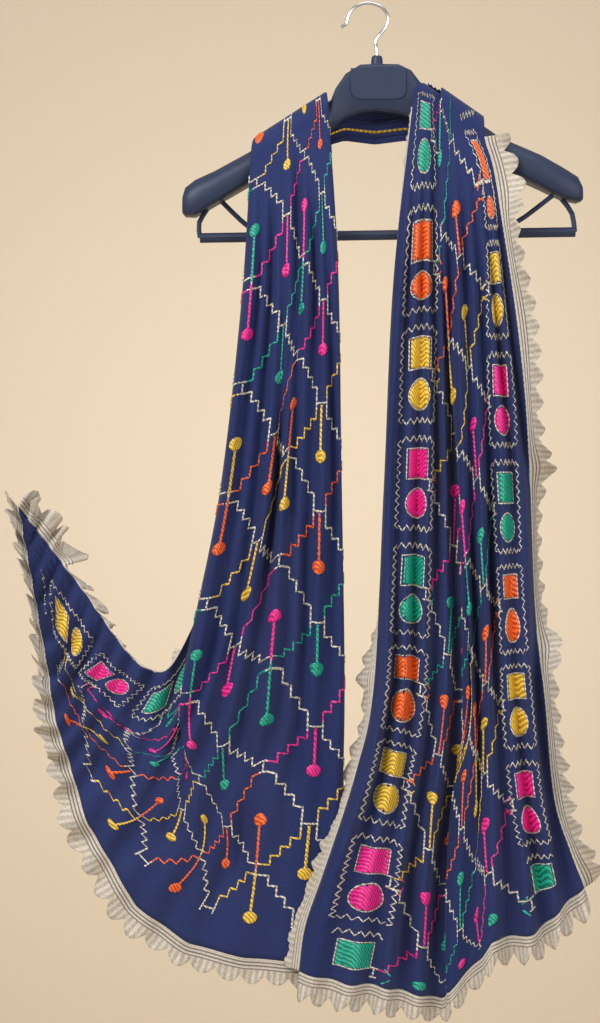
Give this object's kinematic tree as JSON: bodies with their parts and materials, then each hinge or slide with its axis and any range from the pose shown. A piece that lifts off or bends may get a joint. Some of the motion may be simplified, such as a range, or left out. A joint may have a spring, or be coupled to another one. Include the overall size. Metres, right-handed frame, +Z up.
{
  "type": "dupatta (embroidered scarf) on a clothes hanger",
  "caption": "Embroidered dupatta with a lace edge, folded in pleats and hung over the shoulders of a plastic clothes hanger.",
  "frame": {"origin": "inside top of the hook's curl, where the rail carries it", "axes": "+Z up, -Y the front that is seen, +X to the viewer's right"},
  "size_m": [0.6572, 0.1018, 1.118],
  "materials": {
    "chiffon": "sheer matte",
    "lace": "matte",
    "embroidery": "satin thread",
    "slate_plastic": "satin",
    "chrome": "polished"
  },
  "bodies": {
    "root": {"hanger_hook": "chrome", "hanger_body": "slate_plastic", "hanger_bar": "slate_plastic", "hanger_badge": "slate_plastic", "cloth_left": "chiffon", "cloth_neck": "chiffon", "cloth_right": "chiffon", "lace_left_hem": "lace", "lace_left_side": "lace", "lace_left_inside": "lace", "lace_left_inner": "lace", "lace_right_outer": "lace", "lace_right_inner": "lace", "lace_right_hem": "lace"}
  },
  "joints": []
}
